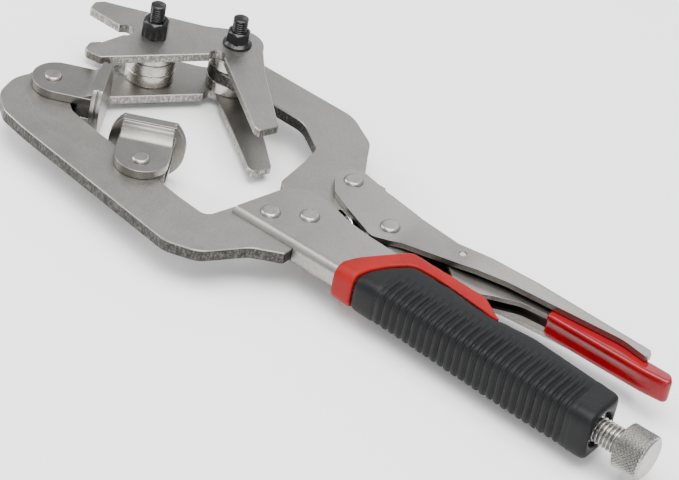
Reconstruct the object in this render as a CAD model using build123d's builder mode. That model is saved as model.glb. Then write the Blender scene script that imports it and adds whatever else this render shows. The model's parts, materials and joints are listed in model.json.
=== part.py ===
"""Locking pliers with a swivel V jaw and two swivel pads, one solid per separate piece.

Units are millimetres, +Z is up and the tool lies flat. The pieces are drawn about the main
pivot rivet, with +X along the handle towards the knob and +Y towards the lever, and are all
moved by the same amount on export so that the origin is under the middle of the tool.
"""

from math import cos, radians, sin
from build123d import *
import os

os.makedirs("parts", exist_ok=True)

# ---- driving dimensions ----------------------------------------------------------------
arm_thick = 5.0  # both forged arms
face_gap = 0.1  # running gap between flat faces of pieces that move on each other
pin_fit = 0.06  # radial clearance of a running pin
sheet = 2.2  # folded sheet of the handle and the lever
front_half = arm_thick / 2 + face_gap + sheet  # half width of the folded channels at the front
rear_half = 7.4  # half width of the folded channels at the rear
flank_in = arm_thick / 2 + face_gap  # inner face of the flanks at the front

main_pivot = (0.0, 0.0)
body_rivet_at = (-10.9, -9.0)
lever_pivot = (-2.5, 29.5)
link_pivot = (23.0, 17.4)
release_pivot = (51.2, 22.6)
screw_y = -13.2  # the adjusting screw runs along X at this height in the channel
screw_tip_x = 90.0  # where the link bears on the screw

tip_rivet = (-116.0, -7.0)
mid_rivet = (-61.0, -21.6)
jaw_pivot = (-81.2, 57.9)
jaw_turn = 53.5  # heading of the jaw's own X axis
spacer_bolt = (-30.5, 7.7)  # in the jaw's own axes

rivet_r = 2.5
rivet_head_r = 3.65
rivet_head = 1.1
pad_rivet_r = 2.2
pad_rivet_head_r = 3.3
bolt_r = 2.9
disc_r = 9.75
disc_thick = 5.0
jaw_thick = 3.5
jaw_top = arm_thick / 2 + disc_thick + jaw_thick  # outer face of the jaw plates

pieces = {}


def rounded(corners):
    """Closed outline through (x, y, corner radius) triples."""
    return FilletPolyline(
        *[(x, y) for x, y, r in corners],
        radius=[r for x, y, r in corners],
        close=True,
    )


def u_section(x, half, spine, rim, corner):
    """Cross-section of a folded channel at one station along X, from its spine to its rim."""
    with BuildSketch(Plane.YZ.offset(x)) as section:
        with BuildLine():
            rounded([(rim, -half, 0), (spine, -half, corner), (spine, half, corner), (rim, half, 0)])
        make_face()
    return section.sketch


def jaw_plane(z):
    """The jaw's own axes at height z: origin on the jaw pivot, X along the V mouth."""
    heading = (cos(radians(jaw_turn)), sin(radians(jaw_turn)), 0)
    return Plane(origin=(*jaw_pivot, z), x_dir=heading, z_dir=(0, 0, 1))


# ---- fixed arm: lower arm, bored for the pads, tail riveted inside the handle ------------
with BuildPart() as fixed_arm:
    with BuildSketch(Plane.XY.offset(-arm_thick / 2)):
        with BuildLine():
            rounded([
                (-124.6, -4.0, 0), (-128.2, -14.5, 13), (-125.3, -26.3, 12), (-116.0, -33.4, 8),
                (-104.0, -36.1, 12), (-27.0, -48.2, 9), (-14.8, -43.8, 10), (-4.4, -28.0, 12),
                (5.9, -21.6, 1), (5.9, -5.5, 1), (-13.0, -0.8, 2), (-19.4, -4.0, 3),
                (-23.2, -14.0, 4), (-26.4, -25.9, 4), (-40.0, -24.6, 10), (-56.0, -21.8, 0),
                (-68.0, -19.4, 0), (-84.5, -17.3, 12), (-99.6, -14.3, 5), (-106.5, -9.0, 0),
            ])
        make_face()
        with Locations(tip_rivet):
            Circle(10.0)
        with Locations(mid_rivet):
            Circle(9.5)
        with Locations(main_pivot):
            Circle(9.6, mode=Mode.SUBTRACT)
        with Locations(tip_rivet, mid_rivet):
            Circle(pad_rivet_r, mode=Mode.SUBTRACT)
        with Locations(body_rivet_at):
            Circle(rivet_r, mode=Mode.SUBTRACT)
    extrude(amount=arm_thick)
    rim = fixed_arm.faces().filter_by(Axis.Z).edges().filter_by(GeomType.LINE)
    chamfer(rim.filter_by(lambda edge: edge.length > 25), 0.4)
pieces["fixed_arm"] = fixed_arm

# ---- moving arm: carries the jaw, swings on the main pivot -------------------------------
spring_slot_r = 14.1  # radius of the spring's slot about the main pivot
spring_slot_from = 57.5
spring_slot_span = 17.0
with BuildPart() as moving_arm:
    with BuildSketch(Plane.XY.offset(-arm_thick / 2)):
        with BuildLine():
            rounded([
                (-81.2, 67.6, 0), (-72.0, 65.7, 8), (-29.0, 65.3, 14), (-14.6, 56.6, 8),
                (-9.6, 48.2, 6), (-3.6, 38.6, 4), (4.4, 35.4, 4), (3.9, 22.0, 6),
                (3.2, 17.4, 1.5), (8.0, 14.2, 1.5), (8.0, 1.0, 0), (-8.0, 0.0, 0),
                (-21.8, 11.2, 5), (-23.6, 27.5, 12), (-25.6, 37.8, 8), (-39.0, 47.2, 12),
                (-81.2, 48.2, 0),
            ])
        make_face()
        with Locations(jaw_pivot):
            Circle(disc_r)
        with Locations(main_pivot):
            Circle(8.0)
        with Locations(lever_pivot):
            Circle(7.0)
        spring_path = CenterArc(
            main_pivot, spring_slot_r, spring_slot_from, spring_slot_span, mode=Mode.PRIVATE
        )
        SlotArc(spring_path, height=4.2)
        SlotArc(spring_path, height=1.7, mode=Mode.SUBTRACT)
        with Locations(main_pivot, lever_pivot):
            Circle(rivet_r + pin_fit, mode=Mode.SUBTRACT)
        with Locations(jaw_pivot):
            Circle(bolt_r + pin_fit, mode=Mode.SUBTRACT)
    extrude(amount=arm_thick)
    rim = moving_arm.faces().filter_by(Axis.Z).edges().filter_by(GeomType.LINE)
    chamfer(rim.filter_by(lambda edge: edge.length > 25), 0.4)
pieces["moving_arm"] = moving_arm

# ---- handle channel: folded round both arms, spine slotted for the fixed arm -------------
channel_rear = 123.0
spring_anchor = (48.0, -9.0)  # cross pin that holds the spring's rear loop
spring_pin_r = 1.0
channel_stations = [  # x, half width outside, y of the spine outside
    (-24.0, front_half, -17.5), (44.0, front_half, -17.5), (60.0, rear_half, -18.2),
    (92.0, rear_half, -19.5), (108.0, rear_half, -20.4), (channel_rear, rear_half, -20.4),
]
channel_outer = [u_section(x, half, spine, 40, 3.4) for x, half, spine in channel_stations]
channel_inner = [
    u_section(x, half - sheet, spine + sheet, 40, 1.2) for x, half, spine in channel_stations
]
with BuildPart() as handle_envelope:  # the channel before it is hollowed
    loft(channel_outer, ruled=True)
    with BuildSketch(Plane.XY.offset(-10)):
        with BuildLine():
            rounded([
                (-22.2, -19.0, 0), (-14.3, 15.2, 12), (3.9, 10.8, 16), (12.0, 8.3, 16), (22.0, 7.0, 16),
                (31.0, 6.6, 12), (44.0, 6.2, 8), (70.0, 4.6, 10), (80.0, -2.2, 8),
                (channel_rear, -4.0, 0), (channel_rear, -24.0, 0), (-22.2, -24.0, 0),
            ])
        make_face()
    extrude(amount=20, mode=Mode.INTERSECT)
with BuildPart() as handle_channel:
    add(handle_envelope.part)
    loft(channel_inner, ruled=True, mode=Mode.SUBTRACT)
    with BuildSketch(Plane.XY.offset(-flank_in)):
        with Locations((-10.0, -16.0)):
            Rectangle(32.4, 8.0)  # lets the fixed arm out through the spine
    extrude(amount=2 * flank_in, mode=Mode.SUBTRACT)
    with BuildSketch(Plane.XY.offset(-10)):
        with Locations(main_pivot, body_rivet_at):
            Circle(rivet_r)
    extrude(amount=20, mode=Mode.SUBTRACT)
    with BuildSketch(Plane.XY.offset(-10)):
        with Locations(spring_anchor):
            Circle(spring_pin_r)
    extrude(amount=20, mode=Mode.SUBTRACT)
pieces["handle_channel"] = handle_channel

# ---- body rivets: main pivot and fixed-arm rivet, low domed heads ------------------------
with BuildPart() as body_rivets:
    with BuildSketch(Plane.XY.offset(-front_half)):
        with Locations(main_pivot, body_rivet_at):
            Circle(rivet_r)
    extrude(amount=2 * front_half)
    with BuildSketch(Plane.XY.offset(front_half)):
        with Locations(main_pivot, body_rivet_at):
            Circle(rivet_head_r)
    extrude(amount=rivet_head)
    with BuildSketch(Plane.XY.offset(-front_half)):
        with Locations(main_pivot, body_rivet_at):
            Circle(rivet_head_r)
    extrude(amount=-rivet_head)
    outer = body_rivets.faces().filter_by(Axis.Z)
    fillet(outer.sort_by(Axis.Z)[-2:].edges() + outer.sort_by(Axis.Z)[:2].edges(), 0.8)
pieces["body_rivets"] = body_rivets

# ---- lever: folded channel open towards the handle, nose plates straddle the moving arm --
lever_stations = [  # x, half width outside, y of the spine outside
    (6.6, front_half, 36.2), (22.6, front_half, 33.4), (28.0, front_half, 32.3),
    (46.0, 6.25, 28.9), (60.0, rear_half, 29.9), (80.0, rear_half, 30.8),
    (113.0, rear_half, 30.0), (131.0, rear_half, 29.6),
]
lever_outer = [u_section(x, half, spine, 2, 3.2) for x, half, spine in lever_stations]
lever_inner = [
    u_section(x, half - sheet, spine - sheet, 2, 1.2) for x, half, spine in lever_stations
]
with BuildPart() as lever:
    loft(lever_outer, ruled=True)
    loft(lever_inner, ruled=True, mode=Mode.SUBTRACT)
    with BuildSketch(Plane.XY.offset(-10)):
        with BuildLine():
            rounded([
                (6.6, 40.0, 0), (6.6, 14.2, 0), (21.6, 7.8, 4), (32.0, 12.6, 12),
                (54.0, 16.6, 30), (72.0, 20.6, 20), (118.0, 25.0, 20), (128.6, 23.2, 1),
                (129.3, 25.6, 1.2), (125.0, 31.0, 3), (114.0, 40.0, 0),
            ])
        make_face()
    extrude(amount=20, mode=Mode.INTERSECT)
    for side in (-front_half, flank_in):
        with BuildSketch(Plane.XY.offset(side)):
            with Locations(lever_pivot):
                Circle(7.0)
            with BuildLine():
                rounded([
                    (-7.4, 24.4, 0), (-3.2, 19.0, 5), (7.0, 14.0, 0), (12.0, 14.0, 0),
                    (12.0, 30.0, 0), (8.0, 34.9, 0), (5.0, 34.9, 2), (0.6, 35.9, 0),
                ])
            make_face()
        extrude(amount=sheet)
    with BuildSketch(Plane.XY.offset(-10)):
        with Locations(lever_pivot, link_pivot):
            Circle(rivet_r)
        with Locations(release_pivot):
            Circle(1.5)
    extrude(amount=20, mode=Mode.SUBTRACT)
pieces["lever"] = lever

with BuildPart() as lever_rivets:
    with BuildSketch(Plane.XY.offset(-front_half)):
        with Locations(lever_pivot, link_pivot):
            Circle(rivet_r)
    extrude(amount=2 * front_half)
    with BuildSketch(Plane.XY.offset(front_half)):
        with Locations(lever_pivot, link_pivot):
            Circle(rivet_head_r)
    extrude(amount=rivet_head)
    with BuildSketch(Plane.XY.offset(-front_half)):
        with Locations(lever_pivot, link_pivot):
            Circle(rivet_head_r)
    extrude(amount=-rivet_head)
    outer = lever_rivets.faces().filter_by(Axis.Z)
    fillet(outer.sort_by(Axis.Z)[-2:].edges() + outer.sort_by(Axis.Z)[:2].edges(), 0.8)
pieces["lever_rivets"] = lever_rivets

# ---- toggle link: from the lever to the screw, its free end stops short of the screw ----
link_half = 4.5
link_thick = 4.4
link_run = 69.0  # from the link pivot to the centre of the rounded free end
link_fall = -24.5  # heading of the link when locked
with BuildPart() as toggle_link:
    link_axes = Plane(
        origin=(*link_pivot, -link_thick / 2),
        x_dir=(cos(radians(link_fall)), sin(radians(link_fall)), 0),
        z_dir=(0, 0, 1),
    )
    with BuildSketch(link_axes):
        with BuildLine():
            rounded([
                (0, -link_half, 0), (link_run - 6, -link_half, 6), (link_run, -3.0, 0),
                (link_run, 3.0, 0), (link_run - 6, link_half, 6), (0, link_half, 0),
            ])
        make_face()
        Circle(5.4)
        with Locations((link_run, 0)):
            Circle(3.0)
        Circle(rivet_r + pin_fit, mode=Mode.SUBTRACT)
        with Locations((link_run / 2, 0)):
            SlotOverall(18.0, 3.0, mode=Mode.SUBTRACT)
    extrude(amount=link_thick)
pieces["toggle_link"] = toggle_link

# ---- release lever: small channel inside the lever, its lobe hangs over the link ---------
release_half = 3.6
release_sheet = 1.8
with BuildPart() as release_lever:
    with BuildSketch(Plane.XY.offset(-release_half)):
        with BuildLine():
            rounded([
                (45.9, 25.6, 2.8), (46.4, 19.6, 5), (56.0, 11.0, 4), (62.4, 8.6, 3),
                (70.0, 14.2, 8), (80.0, 19.4, 14), (91.0, 20.6, 10), (134.0, 20.6, 1.2),
                (134.6, 24.0, 1.2), (112.0, 25.2, 20), (88.0, 26.2, 20), (60.0, 25.6, 20),
            ])
        make_face()
    extrude(amount=2 * release_half)
    with BuildSketch(Plane.XY.offset(release_sheet - release_half)):
        with BuildLine():
            Polyline(
                (40.0, 0.0), (140.0, 0.0), (140.0, 22.0), (112.0, 23.4), (88.0, 24.4),
                (60.0, 23.8), (40.0, 23.8), close=True,
            )
        make_face()
    extrude(amount=2 * (release_half - release_sheet), mode=Mode.SUBTRACT)
    with BuildSketch(Plane.XY.offset(-10)):
        with Locations(release_pivot):
            Circle(1.5 + pin_fit)
    extrude(amount=20, mode=Mode.SUBTRACT)
pieces["release_lever"] = release_lever

with BuildPart() as release_pin:
    with BuildSketch(Plane.XY.offset(-6.4)):
        with Locations(release_pivot):
            Circle(1.5)
    extrude(amount=12.8)
    chamfer(release_pin.edges().filter_by(GeomType.CIRCLE), 0.25)
pieces["release_pin"] = release_pin

# ---- release sleeve: vinyl dipped over the tail of the release lever ---------------------
sleeve_half = 4.8
with BuildPart() as release_sleeve:
    with BuildSketch(Plane.XY.offset(-sleeve_half)):
        with BuildLine():
            rounded([
                (90.0, 27.2, 1.5), (89.6, 19.2, 2), (131.0, 19.2, 12), (142.6, 20.4, 2),
                (138.6, 25.7, 2.5), (124.0, 25.7, 12), (112.0, 26.9, 12),
            ])
        make_face()
    extrude(amount=2 * sleeve_half)
    sleeve_rims = release_sleeve.faces().filter_by(Axis.Z).edges()
    fillet(sleeve_rims, 1.2)
    add(release_lever.part, mode=Mode.SUBTRACT)
pieces["release_sleeve"] = release_sleeve

# ---- adjusting screw, knob, thrust tip and the threaded bushing --------------------------
screw_r = 4.8
shank_r = 3.9  # plain shank ahead of the thread
thread_pitch = 1.5
thread_depth = 0.7
thread_from = 109.4
knob_from = 144.2
knob_r = 8.35
knob_to = 152.6
screw_line = Axis((0, screw_y, 0), (1, 0, 0))
with BuildPart() as adjusting_screw:
    with BuildSketch():
        with BuildLine():
            crests = [
                (94.2, screw_y + shank_r - 0.5), (94.7, screw_y + shank_r),
                (thread_from - 0.9, screw_y + shank_r),
            ]
            turns = int((knob_from - thread_from) / thread_pitch)
            for turn in range(turns):
                start = thread_from + turn * thread_pitch
                crests.append((start, screw_y + screw_r))
                crests.append((start + 0.6, screw_y + screw_r - thread_depth))
                crests.append((start + 1.2, screw_y + screw_r))
            Polyline(
                (91.6, screw_y), (91.6, screw_y + 2.0), (94.2, screw_y + 2.0), *crests,
                (knob_from, screw_y + screw_r), (knob_from, screw_y + 3.0),
                (155.0, screw_y + 3.0), (155.0, screw_y), close=True,
            )
        make_face()
    revolve(axis=screw_line)
pieces["adjusting_screw"] = adjusting_screw

knurl_count = 36
with BuildPart() as knurled_knob:
    with BuildSketch():
        with BuildLine():
            Polyline(
                (knob_from, screw_y + 3.0), (knob_from, screw_y + knob_r - 0.6),
                (knob_from + 0.6, screw_y + knob_r), (knob_to - 1.6, screw_y + knob_r),
                (knob_to - 1.0, screw_y + knob_r - 0.7), (knob_to, screw_y + knob_r - 0.7),
                (155.0, screw_y + knob_r - 2.6), (155.0, screw_y + 3.0), close=True,
            )
        make_face()
    revolve(axis=screw_line)
    knob_face = Plane(origin=(knob_from - 1, screw_y, 0), x_dir=(0, 1, 0), z_dir=(1, 0, 0))
    with BuildSketch(knob_face):
        with PolarLocations(knob_r + 0.15, knurl_count):
            RegularPolygon(0.55, 4)
    extrude(amount=knob_to - knob_from - 0.6, mode=Mode.SUBTRACT)
pieces["knurled_knob"] = knurled_knob

with BuildPart() as thrust_tip:
    with BuildSketch():
        with BuildLine():
            Polyline(
                (screw_tip_x + 0.8, screw_y), (screw_tip_x + 0.8, screw_y + 2.6),
                (screw_tip_x + 1.6, screw_y + 3.6), (94.1, screw_y + 3.6),
                (94.1, screw_y + 2.0 + pin_fit), (91.55, screw_y + 2.0 + pin_fit),
                (91.55, screw_y), close=True,
            )
        make_face()
    revolve(axis=screw_line)
pieces["thrust_tip"] = thrust_tip

bushing_rear = 133.4
with BuildPart() as screw_bushing:
    with BuildSketch(Plane.YZ.offset(channel_rear)):
        with Locations((screw_y, 0)):
            RectangleRounded(14.4, 2 * rear_half, 3.4)
            Circle(screw_r + 0.08, mode=Mode.SUBTRACT)
    extrude(amount=bushing_rear - channel_rear)
pieces["screw_bushing"] = screw_bushing

# ---- tension spring: close-wound coil with a loop at each end, and its rear cross pin ----
spring_from = (6.5, 12.5)  # front loop, in the moving arm's slot
spring_run = 46.7  # from the front loop's far side to the cross pin
spring_x = (spring_anchor[0] - spring_from[0], spring_anchor[1] - spring_from[1], 0)
spring_plane = Plane(origin=(*spring_from, 0), x_dir=spring_x, z_dir=(-spring_x[1], spring_x[0], 0))
front_loop_r = 4.0
rear_loop_r = 2.6
wire_r = 0.5
coil_r = 1.9
coil_from = 9.7
coil_steps = 50
coil_step = 0.6
with BuildPart() as tension_spring:
    with BuildSketch(spring_plane):
        with BuildLine():
            wound = [
                (coil_from + step * coil_step, coil_r + 0.45 * (step % 2)) for step in range(coil_steps)
            ]
            Polyline((coil_from, 0.0), *wound, (wound[-1][0], 0.0), close=True)
        make_face()
    revolve(axis=Axis(spring_plane.origin, spring_plane.x_dir))
    with Locations(spring_plane * Location((front_loop_r, 0, 0))):
        Torus(front_loop_r, wire_r)
    rear_loop_at = spring_run + spring_pin_r + wire_r + 0.05 - rear_loop_r
    with Locations(spring_plane * Location((rear_loop_at, 0, 0), (90, 0, 0))):
        Torus(rear_loop_r, wire_r)
    front_gap = coil_from - 2 * front_loop_r + wire_r
    rear_gap = rear_loop_at - rear_loop_r - wound[-1][0] + wire_r
    with Locations(spring_plane * Location((coil_from - front_gap / 2 + 0.3, 0, 0), (0, 90, 0))):
        Cylinder(wire_r, front_gap)
    with Locations(spring_plane * Location((wound[-1][0] + rear_gap / 2 - 0.3, 0, 0), (0, 90, 0))):
        Cylinder(wire_r, rear_gap)
pieces["tension_spring"] = tension_spring

with BuildPart() as spring_pin:
    with BuildSketch(Plane.XY.offset(-5.3)):
        with Locations(spring_anchor):
            Circle(spring_pin_r)
    extrude(amount=10.6)
pieces["spring_pin"] = spring_pin

# ---- grip: rubber sleeve over the channel, ribbed body with a smooth band at the front ---
grip_rear = 135.6
grip_stations = [  # x, half width, y of the underside
    (22.0, 7.4, -19.5), (50.0, 8.2, -20.2), (92.0, 9.4, -21.7), (110.0, 9.7, -22.3),
    (grip_rear, 9.9, -22.7),
]
grip_outer = [u_section(x, half, spine, 20, 4.6) for x, half, spine in grip_stations]
with BuildPart() as grip_blank:
    loft(grip_outer, ruled=True)
    with BuildSketch(Plane.XY.offset(-15)):
        with BuildLine():
            rounded([
                (25.2, -14.4, 3), (27.6, -8.4, 8), (38.8, 8.4, 4), (50.0, 7.9, 10),
                (72.5, 6.4, 8), (82.4, -0.4, 5), (98.0, 0.4, 30), (grip_rear, -3.2, 3),
                (grip_rear, -26.0, 0), (25.2, -26.0, 0),
            ])
        make_face()
    extrude(amount=30, mode=Mode.INTERSECT)
    add(handle_envelope.part, mode=Mode.SUBTRACT)
    loft(
        [u_section(x, half - sheet, spine + sheet, 40, 1.2) for x, half, spine in channel_stations],
        ruled=True, mode=Mode.SUBTRACT,
    )
    add(screw_bushing.part, mode=Mode.SUBTRACT)
    with BuildSketch(Plane.YZ.offset(bushing_rear - 20)):
        with Locations((screw_y, 0)):
            Circle(6.4)
    extrude(amount=30, mode=Mode.SUBTRACT)
band_border = [
    (20.0, -30.0, 0), (34.4, -30.0, 0), (33.8, -17.0, 4), (35.4, -10.6, 6), (38.6, -4.4, 6),
    (44.2, 2.4, 5), (52.0, 2.4, 10), (82.6, -1.6, 0), (86.0, 14.0, 0), (20.0, 14.0, 0),
]
with BuildPart() as grip_band:
    add(grip_blank.part)
    with BuildSketch(Plane.XY.offset(-15)):
        with BuildLine():
            rounded(band_border)
        make_face()
    extrude(amount=30, mode=Mode.INTERSECT)
pieces["grip_band"] = grip_band



def grip_at(x):
    """Half width and underside of the grip at x, read off the straight lines between stations."""
    for (x0, half0, under0), (x1, half1, under1) in zip(grip_stations, grip_stations[1:]):
        if x <= x1:
            share = (x - x0) / (x1 - x0)
            return half0 + share * (half1 - half0), under0 + share * (under1 - under0)


rib_first = 44.0
rib_pitch = 3.1
rib_count = 27
groove_wide = 1.2
groove_deep = 0.5
groove_top = -8.0  # the ribs fade out above this height on the flanks
with BuildPart() as grip_body:
    add(grip_blank.part)
    with BuildSketch(Plane.XY.offset(-15)):
        with BuildLine():
            rounded(band_border)
        make_face()
    extrude(amount=30, mode=Mode.SUBTRACT)
    for rib in range(rib_count):
        rib_x = rib_first + rib * rib_pitch
        half, under = grip_at(rib_x)
        with BuildSketch(Plane.YZ.offset(rib_x)):
            with BuildLine():
                rounded([
                    (groove_top, -half - 1, 0), (under - 1, -half - 1, 0),
                    (under - 1, half + 1, 0), (groove_top, half + 1, 0),
                ])
            make_face()
            with BuildLine():
                rounded([
                    (groove_top, groove_deep - half, 0), (under + groove_deep, groove_deep - half, 4.2),
                    (under + groove_deep, half - groove_deep, 4.2), (groove_top, half - groove_deep, 0),
                ])
            make_face(mode=Mode.SUBTRACT)
        extrude(amount=groove_wide, mode=Mode.SUBTRACT)
pieces["grip_body"] = grip_body

# ---- swivel pads: round face on two ears that straddle the fixed arm ---------------------
pad_face_at = 20.4  # from the pad rivet to the gripping face
pad_back_at = 16.6
pad_r = 14.2
pad_half_height = 10.3
ear_in = arm_thick / 2 + face_gap
ear_out = 5.9
ear_r = 10.0
ear_centre = 2.2  # the rounded end of each ear is struck ahead of the rivet
pad_places = {"tip_pad": (tip_rivet, 29.3), "mid_pad": (mid_rivet, 120.65)}
for pad_name, (pad_rivet, facing) in pad_places.items():
    with BuildPart() as pad:
        across = (sin(radians(facing)), -cos(radians(facing)), 0)
        ahead = (cos(radians(facing)), sin(radians(facing)), 0)
        face_plane = Plane(
            origin=(pad_rivet[0] + pad_back_at * ahead[0], pad_rivet[1] + pad_back_at * ahead[1], 0),
            x_dir=across, z_dir=ahead,
        )
        with BuildSketch(face_plane):
            Circle(pad_r)
            Rectangle(2 * pad_r, 2 * pad_half_height, mode=Mode.INTERSECT)
        extrude(amount=pad_face_at - pad_back_at)
        with BuildSketch(face_plane.offset(1.7)):
            Circle(pad_r + 1)
            Circle(pad_r - 0.5, mode=Mode.SUBTRACT)
        extrude(amount=0.5, mode=Mode.SUBTRACT)
        for low in (ear_in, -ear_out):
            ear_plane = Plane(origin=(*pad_rivet, low), x_dir=ahead, z_dir=(0, 0, 1))
            with BuildSketch(ear_plane):
                with Locations((ear_centre, 0)):
                    Circle(ear_r)
                with Locations(((pad_back_at + ear_centre) / 2, 0)):
                    Rectangle(pad_back_at - ear_centre, 2 * ear_r)
                Circle(pad_rivet_r + pin_fit, mode=Mode.SUBTRACT)
            extrude(amount=ear_out - ear_in)
    pieces[pad_name] = pad

with BuildPart() as pad_rivets:
    with BuildSketch(Plane.XY.offset(-ear_out - face_gap)):
        with Locations(tip_rivet, mid_rivet):
            Circle(pad_rivet_r)
    extrude(amount=2 * (ear_out + face_gap))
    for low, rise in ((ear_out + face_gap, 0.95), (-ear_out - face_gap, -0.95)):
        with BuildSketch(Plane.XY.offset(low)):
            with Locations(tip_rivet, mid_rivet):
                Circle(pad_rivet_head_r)
        extrude(amount=rise)
    outer = pad_rivets.faces().filter_by(Axis.Z)
    fillet(outer.sort_by(Axis.Z)[-2:].edges() + outer.sort_by(Axis.Z)[:2].edges(), 0.7)
pieces["pad_rivets"] = pad_rivets

# ---- swivel jaw: two equal V-mouthed plates held apart by the spacers --------------------
jaw_outline = [
    (-51.4, 26.4, 1.2), (-48.6, 30.6, 1.6), (-44.6, 30.8, 2), (-39.3, 27.9, 8),
    (-9.0, 12.4, 12), (0.0, 10.2, 0), (10.2, 0.6, 0), (7.2, -13.0, 20), (5.6, -21.0, 20),
    (1.9, -53.4, 1.5), (-6.2, -55.8, 1), (-7.3, -53.4, 1), (-7.3, -6.2, 0),
    (-54.6, -6.2, 1), (-58.8, -2.0, 0.6), (-58.9, -0.6, 0.6), (-56.0, 1.6, 1),
    (-39.2, 9.6, 0),
]
for plate_name, low in (("upper_jaw_plate", jaw_top - jaw_thick), ("lower_jaw_plate", -jaw_top)):
    with BuildPart() as jaw_plate:
        with BuildSketch(jaw_plane(low)):
            with BuildLine():
                rounded(jaw_outline)
            make_face()
            Circle(10.2)
            with Locations((-9.6, -7.0)):
                Circle(3.0, mode=Mode.SUBTRACT)
            with Locations((-41.4, 11.0)):
                Circle(3.5, mode=Mode.SUBTRACT)
            with Locations((0, 0), spacer_bolt):
                Circle(bolt_r, mode=Mode.SUBTRACT)
        extrude(amount=jaw_thick)
        rim = jaw_plate.faces().filter_by(Axis.Z).edges().filter_by(GeomType.LINE)
        chamfer(rim.filter_by(lambda edge: edge.length > 20), 0.3)
    pieces[plate_name] = jaw_plate

with BuildPart() as spacer_discs:
    for layer in range(3):
        low = -arm_thick / 2 - disc_thick + layer * disc_thick
        with BuildSketch(jaw_plane(low)):
            with Locations(spacer_bolt):
                Circle(disc_r)
                Circle(bolt_r, mode=Mode.SUBTRACT)
        extrude(amount=disc_thick - 0.02)
pieces["spacer_discs"] = spacer_discs

with BuildPart() as pivot_washers:
    for low in (ear_in, -arm_thick / 2 - disc_thick):
        with BuildSketch(jaw_plane(low)):
            Circle(disc_r)
            Circle(bolt_r, mode=Mode.SUBTRACT)
        extrude(amount=disc_thick - face_gap)
pieces["pivot_washers"] = pivot_washers

head_flats = 9.5
head_height = 3.5
bolt_reach = {"pivot": 22.8, "spacer": 24.6}
with BuildPart() as jaw_bolts:
    for place, top in (((0, 0), bolt_reach["pivot"]), (spacer_bolt, bolt_reach["spacer"])):
        with BuildSketch(jaw_plane(-jaw_top - head_height)):
            with Locations(place):
                RegularPolygon(head_flats / 2, 6, major_radius=False)
        extrude(amount=head_height)
        with BuildSketch(jaw_plane(-jaw_top - 0.1)):
            with Locations(place):
                Circle(bolt_r)
        extrude(amount=top + jaw_top + 0.1)
    tips = jaw_bolts.faces().filter_by(Axis.Z).sort_by(Axis.Z)[-2:]
    chamfer(tips.edges(), 0.5)
pieces["jaw_bolts"] = jaw_bolts

nut_r = 4.7
spacer_nut_r = 5.45
with BuildPart() as pivot_flange_nut:
    with BuildSketch(jaw_plane(jaw_top)):
        Circle(5.6)
    extrude(amount=1.2)
    with BuildSketch(jaw_plane(jaw_top + 1.0)):
        RegularPolygon(nut_r, 6)
    extrude(amount=4.6)
    nut_top = pivot_flange_nut.faces().filter_by(Axis.Z).sort_by(Axis.Z)[-1]
    chamfer(nut_top.edges(), 0.5)
    with BuildSketch(jaw_plane(jaw_top + 5.0)):
        Circle(3.7)
    extrude(amount=1.3)
    with BuildSketch(jaw_plane(jaw_top)):
        Circle(bolt_r)
    extrude(amount=10, mode=Mode.SUBTRACT)
pieces["pivot_flange_nut"] = pivot_flange_nut

with BuildPart() as spacer_nut:
    with BuildSketch(jaw_plane(jaw_top)):
        with Locations(spacer_bolt):
            RegularPolygon(spacer_nut_r, 6)
    extrude(amount=6.9)
    nut_top = spacer_nut.faces().filter_by(Axis.Z).sort_by(Axis.Z)[-1]
    chamfer(nut_top.edges(), 0.5)
    with BuildSketch(jaw_plane(jaw_top)):
        with Locations(spacer_bolt):
            Circle(bolt_r)
    extrude(amount=10, mode=Mode.SUBTRACT)
pieces["spacer_nut"] = spacer_nut

# ---- export: the origin goes under the middle of the tool --------------------------------
everything = Compound([piece.part for piece in pieces.values()]).bounding_box()
seat = (
    -(everything.min.X + everything.max.X) / 2,
    -(everything.min.Y + everything.max.Y) / 2,
    -everything.min.Z,
)
print("main pivot sits at", [round(v, 4) for v in seat])
for name, piece in pieces.items():
    placed = piece.part.moved(Location(seat))
    placed.label = name
    export_step(placed, f"parts/{name}.step")
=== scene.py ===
"""Looks for a pair of locking pliers with a swivel jaw: steel, rubber, vinyl and fasteners."""

import json
from math import asin, ceil, cos, pi, radians, sin, sqrt

import bmesh
import bpy
import numpy as np
from mathutils import Matrix, Vector


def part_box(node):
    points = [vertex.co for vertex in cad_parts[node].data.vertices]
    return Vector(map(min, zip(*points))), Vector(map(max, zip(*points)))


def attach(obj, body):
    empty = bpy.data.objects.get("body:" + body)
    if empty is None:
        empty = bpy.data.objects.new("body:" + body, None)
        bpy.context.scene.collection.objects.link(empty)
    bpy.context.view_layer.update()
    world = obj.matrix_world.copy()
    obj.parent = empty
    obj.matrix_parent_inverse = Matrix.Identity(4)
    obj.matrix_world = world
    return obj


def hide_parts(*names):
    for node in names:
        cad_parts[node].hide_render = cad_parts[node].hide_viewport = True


bl_info = {
    "name": "Locking pliers looks",
    "version": (1, 0, 0),
    "blender": (4, 5, 0),
    "location": "View3D > Sidebar > Pliers",
    "description": "Builds the finished surfaces of a pair of locking pliers around its frame",
    "category": "Object",
}

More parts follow.
